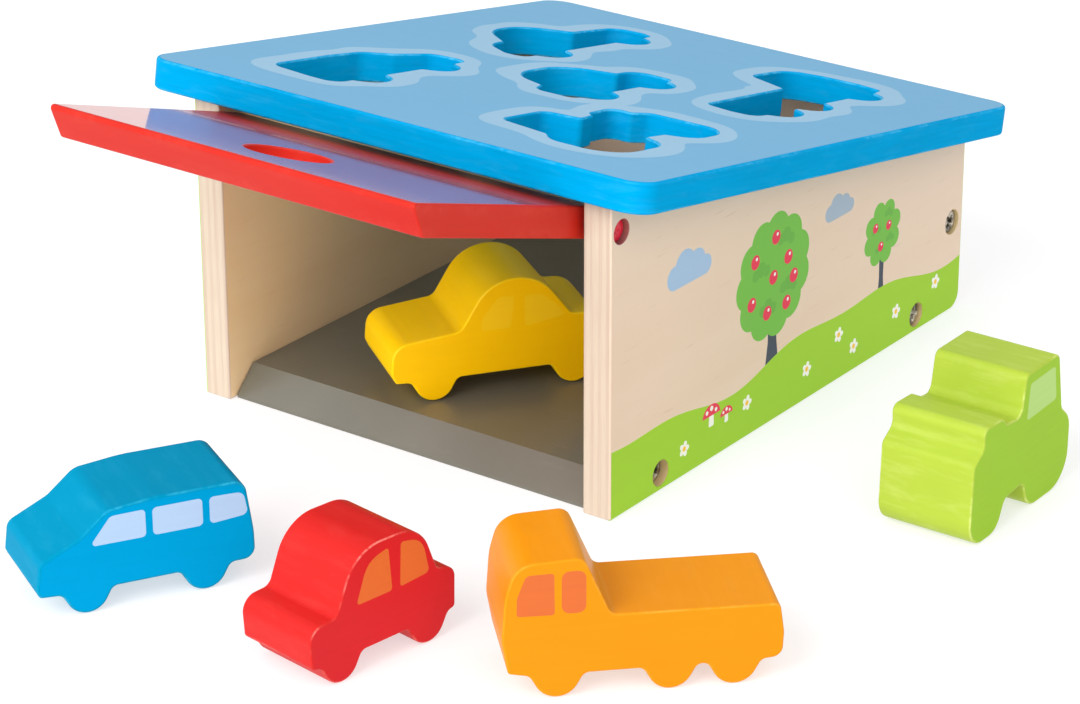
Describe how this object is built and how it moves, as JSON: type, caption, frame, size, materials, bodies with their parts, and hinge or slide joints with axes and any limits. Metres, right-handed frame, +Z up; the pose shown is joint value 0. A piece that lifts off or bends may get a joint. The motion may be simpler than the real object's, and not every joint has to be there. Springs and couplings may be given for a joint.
{
  "type": "shape sorter garage",
  "caption": "Wooden toy garage whose sloping lid has vehicle-shaped openings, with a lift-up door, a ramp and matching vehicle blocks.",
  "frame": {"origin": "middle of the garage's underside, on the surface that it stands on", "axes": "+Z up, -Y out of the doorway, +X to the right as seen from the doorway"},
  "size_m": [0.2572, 0.3391, 0.1173],
  "materials": {
    "plywood": "matt clear lacquer on birch plywood",
    "lid_paint": "satin blue paint, printed paler blue on top",
    "door_paint": "gloss red paint",
    "floor_paint": "satin grey paint",
    "steel": "zinc plated",
    "cap_plastic": "gloss",
    "dowel_wood": "bare beech",
    "van_paint": "satin blue paint with printed windows",
    "red_car_paint": "satin red paint with printed windows",
    "truck_paint": "satin orange paint with printed windows",
    "yellow_car_paint": "satin yellow paint with printed windows",
    "tractor_paint": "satin green paint with a printed window"
  },
  "bodies": {
    "garage": {"left_wall": "plywood", "right_wall": "plywood", "back_wall": "plywood", "floor_panel": "floor_paint", "lid": "lid_paint", "hinge_pin_left": "steel", "hinge_pin_right": "steel", "hinge_cap_left": "cap_plastic", "hinge_cap_right": "cap_plastic", "screw_left_front": "steel", "screw_left_rear": "steel", "screw_left_back": "steel", "screw_right_front": "steel", "screw_right_rear": "steel", "screw_right_back": "steel", "lid_dowel_left_front": "dowel_wood", "lid_dowel_left_rear": "dowel_wood", "lid_dowel_right_front": "dowel_wood", "lid_dowel_right_rear": "dowel_wood", "lid_dowel_back_left": "dowel_wood", "lid_dowel_back_right": "dowel_wood", "floor_dowel_left": "dowel_wood", "floor_dowel_right": "dowel_wood"},
    "door": {"door": "door_paint"},
    "van": {"block_van": "van_paint"},
    "red_car": {"block_car_red": "red_car_paint"},
    "truck": {"block_truck": "truck_paint"},
    "yellow_car": {"block_car_yellow": "yellow_car_paint"},
    "tractor": {"block_tractor": "tractor_paint"}
  },
  "joints": [
    {"name": "door_hinge", "type": "hinge", "parent": "garage", "child": "door", "pos_m": [0, -0.0925, 0.08722], "axis": [1, 0, 0], "range_deg": [-7, 108.3]},
    {"name": "van_lift", "type": "slide", "parent": "garage", "child": "van", "axis": [0, 0, 1], "range_m": [0, 0.05]},
    {"name": "red_car_lift", "type": "slide", "parent": "garage", "child": "red_car", "axis": [0, 0, 1], "range_m": [0, 0.05]},
    {"name": "truck_lift", "type": "slide", "parent": "garage", "child": "truck", "axis": [0, 0, 1], "range_m": [0, 0.05]},
    {"name": "yellow_car_lift", "type": "slide", "parent": "garage", "child": "yellow_car", "axis": [0, 0, 1], "range_m": [0, 0.03]},
    {"name": "tractor_lift", "type": "slide", "parent": "garage", "child": "tractor", "axis": [0, 0, 1], "range_m": [0, 0.05]}
  ]
}
